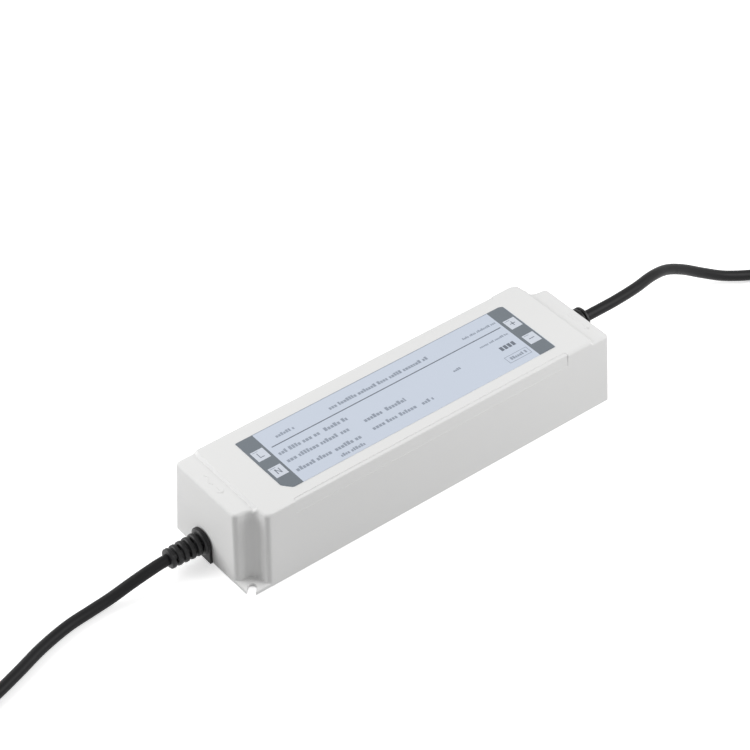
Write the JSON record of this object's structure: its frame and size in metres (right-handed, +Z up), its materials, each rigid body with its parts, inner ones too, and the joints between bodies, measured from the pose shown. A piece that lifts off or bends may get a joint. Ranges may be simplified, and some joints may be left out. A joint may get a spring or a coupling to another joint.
{
  "type": "waterproof power supply",
  "caption": "Potted low-voltage LED power supply: long white plastic case with diagonal screw ears, a label on its raised top and a fixed lead at each end.",
  "frame": {"origin": "middle of the case's base", "axes": "+X from the mains end to the low-voltage end, +Z up, +Y to the case's long far side"},
  "size_m": [0.4723, 0.0576, 0.0322],
  "materials": {
    "case": "satin white moulded plastic",
    "plate": "white moulded plastic",
    "label": "satin printed film",
    "potting": "dull cast compound",
    "seal": "satin black",
    "sheath": "satin black sheath",
    "wire_brown": "satin insulation",
    "wire_blue": "satin insulation",
    "wire_red": "satin insulation",
    "wire_black": "satin insulation",
    "tinned": "tinned strands",
    "sheet": "insulating film",
    "board": "solder-masked laminate",
    "moulded_black": "moulded black",
    "disc_blue": "dipped coating",
    "disc_green": "dipped coating",
    "film_yellow": "moulded box",
    "ferrite": "sintered ferrite",
    "copper": "enamelled copper",
    "tape_yellow": "polyester tape",
    "sleeve_dark": "shrink sleeve",
    "aluminium": "plain sheet",
    "steel": "plated screw",
    "resistor_body": "coated body",
    "coupler_white": "moulded white"
  },
  "bodies": {
    "root": {"housing": "case", "bottom_plate": "plate", "rating_label": "label", "potting": "potting", "input_strain_relief": "seal", "output_grommet": "seal", "input_cable": "sheath", "output_cable": "sheath", "input_live_wire": "wire_brown", "inner_live_wire": "wire_brown", "input_neutral_wire": "wire_blue", "inner_neutral_wire": "wire_blue", "output_positive_wire": "wire_red", "inner_positive_wire": "wire_red", "output_negative_wire": "wire_black", "inner_negative_wire": "wire_black", "input_strands": "tinned", "output_strands": "tinned", "insulating_sheet": "sheet", "circuit_board": "board", "fuse": "moulded_black", "bridge_rectifier": "moulded_black", "primary_transistor": "moulded_black", "output_rectifier": "moulded_black", "control_chip": "moulded_black", "transformer_bobbin": "moulded_black", "varistor": "disc_blue", "safety_capacitor": "disc_blue", "thermistor": "disc_green", "line_capacitor": "film_yellow", "choke_core": "ferrite", "transformer_core": "ferrite", "inductor_core": "ferrite", "choke_windings": "copper", "inductor_winding": "copper", "transformer_winding": "tape_yellow", "bulk_capacitor": "sleeve_dark", "output_capacitors": "sleeve_dark", "primary_heatsink": "aluminium", "secondary_heatsink": "aluminium", "heatsink_screws": "steel", "snubber_resistor": "resistor_body", "optocoupler": "coupler_white"}
  },
  "joints": []
}
